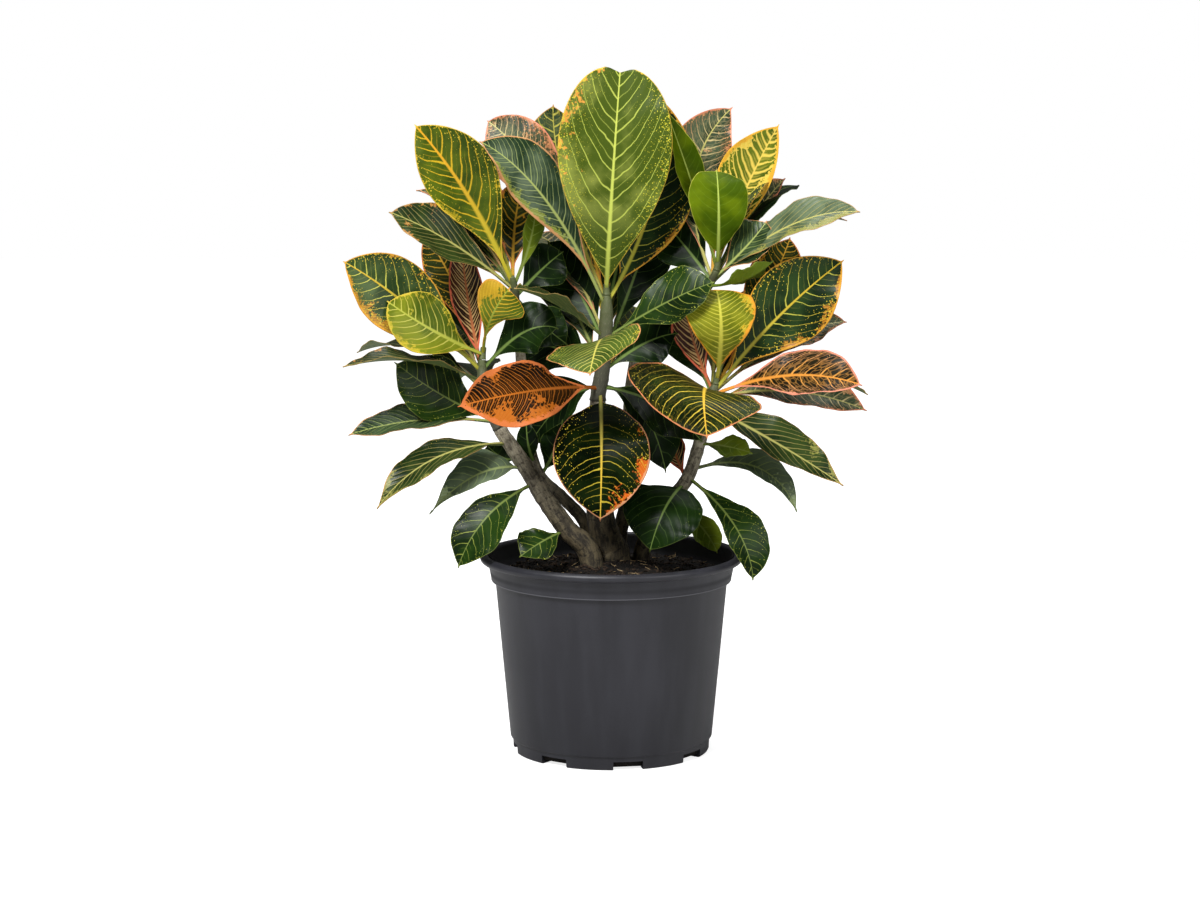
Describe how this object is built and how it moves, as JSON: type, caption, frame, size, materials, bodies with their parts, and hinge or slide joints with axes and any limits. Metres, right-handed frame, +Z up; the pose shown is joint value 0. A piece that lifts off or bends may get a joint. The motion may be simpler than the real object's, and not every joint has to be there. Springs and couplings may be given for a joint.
{
  "type": "potted croton",
  "caption": "Variegated leafy bush of several woody stems, growing from soil in a round tapering nursery pot with a rolled lip and a slotted foot.",
  "frame": {"origin": "middle of the pot's flat underside", "axes": "+Z up along the pot's axis, -Y towards the front of the bush, +X to the right as seen from the front"},
  "size_m": [0.4207, 0.2582, 0.5532],
  "materials": {
    "pot_plastic": "moulded, soft satin",
    "soil": "moist bark and peat mix",
    "bark": "ringed grey-brown bark",
    "mature_leaf": "glossy dark green leaf with yellow and orange veins",
    "young_leaf": "glossy yellow-green leaf with a yellow rib"
  },
  "bodies": {
    "root": {"pot": "pot_plastic", "soil": "soil", "centre_trunk": "bark", "left_stem": "bark", "upper_left_stem": "bark", "right_stem": "bark", "upper_right_stem": "bark", "centre_leaves": "mature_leaf", "left_leaves": "mature_leaf", "upper_left_leaves": "mature_leaf", "right_leaves": "mature_leaf", "upper_right_leaves": "mature_leaf", "left_low_leaf_1": "mature_leaf", "left_low_leaf_2": "mature_leaf", "left_low_leaf_3": "mature_leaf", "left_low_leaf_4": "mature_leaf", "left_low_leaf_5": "mature_leaf", "upper_left_low_leaf_1": "mature_leaf", "upper_left_low_leaf_2": "mature_leaf", "right_low_leaf_1": "mature_leaf", "right_low_leaf_2": "mature_leaf", "right_low_leaf_3": "mature_leaf", "right_low_leaf_4": "mature_leaf", "right_low_leaf_5": "mature_leaf", "right_low_leaf_6": "mature_leaf", "centre_young_leaves": "young_leaf", "left_young_leaves": "young_leaf", "right_young_leaves": "young_leaf", "upper_right_young_leaves": "young_leaf"}
  },
  "joints": []
}
